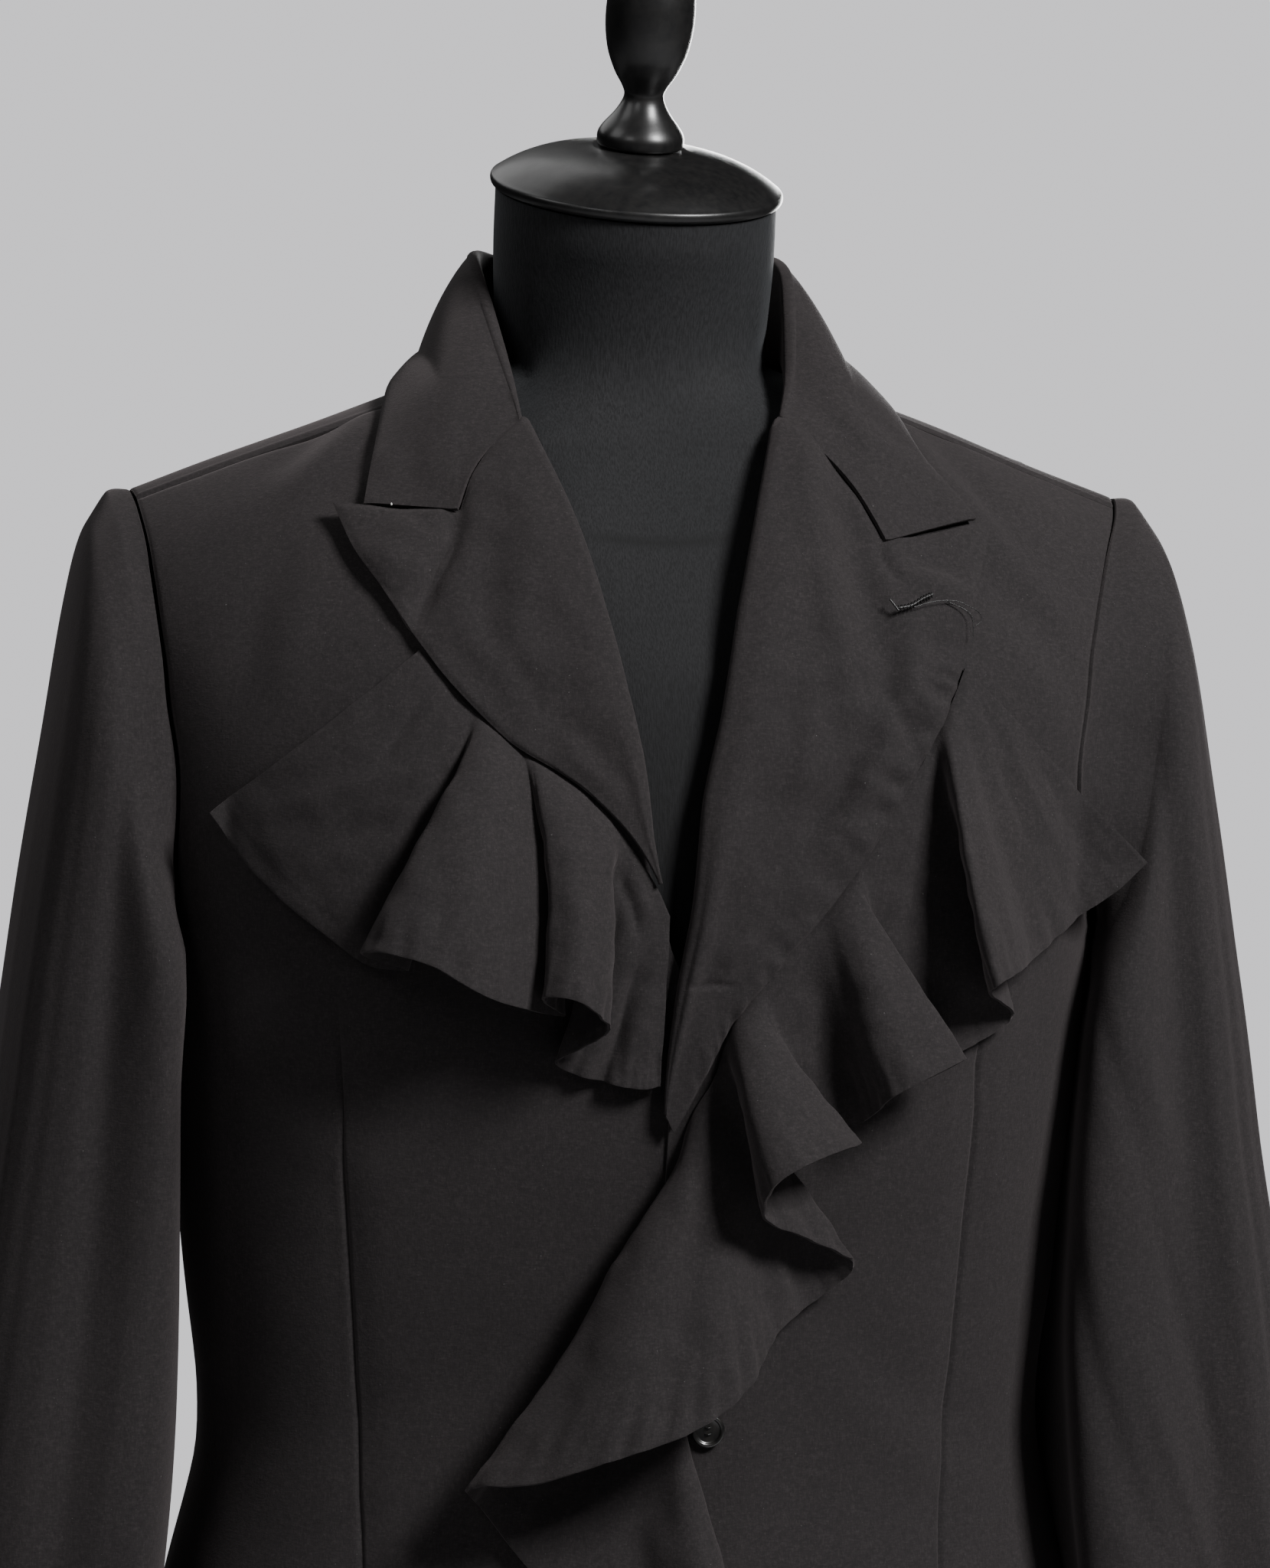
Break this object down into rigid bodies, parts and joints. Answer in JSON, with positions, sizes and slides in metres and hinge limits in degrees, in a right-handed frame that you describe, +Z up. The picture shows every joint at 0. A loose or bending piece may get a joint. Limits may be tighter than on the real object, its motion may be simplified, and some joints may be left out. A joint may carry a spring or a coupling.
{
  "type": "ruffle blazer on a limbless dress form with stand",
  "caption": "Black tailored blazer with peaked lapels and cascading ruffles down its front, on a limbless dress form with turned finial, pole and round base.",
  "frame": {"origin": "middle of the underside of the stand's base, on the floor", "axes": "+Z up; -Y is the front of the blazer; +X is the wearer's left"},
  "size_m": [0.64, 0.38, 1.6477],
  "materials": {
    "blazer_cloth": "matt fine wool crepe, near black",
    "form_jersey": "black jersey, stretched smooth",
    "lacquered_wood": "black lacquer, glossy",
    "button_plastic": "dark, slightly glossy"
  },
  "bodies": {
    "root": {"front_left": "blazer_cloth", "front_right": "blazer_cloth", "back_left": "blazer_cloth", "back_right": "blazer_cloth", "sleeve_left": "blazer_cloth", "sleeve_right": "blazer_cloth", "collar": "blazer_cloth", "lapel_left": "blazer_cloth", "lapel_right": "blazer_cloth", "ruffle_left": "blazer_cloth", "ruffle_right": "blazer_cloth", "form_torso": "form_jersey", "neck_cap": "lacquered_wood", "finial": "lacquered_wood", "stand_pole": "lacquered_wood", "stand_base": "lacquered_wood", "button": "button_plastic"}
  },
  "joints": []
}
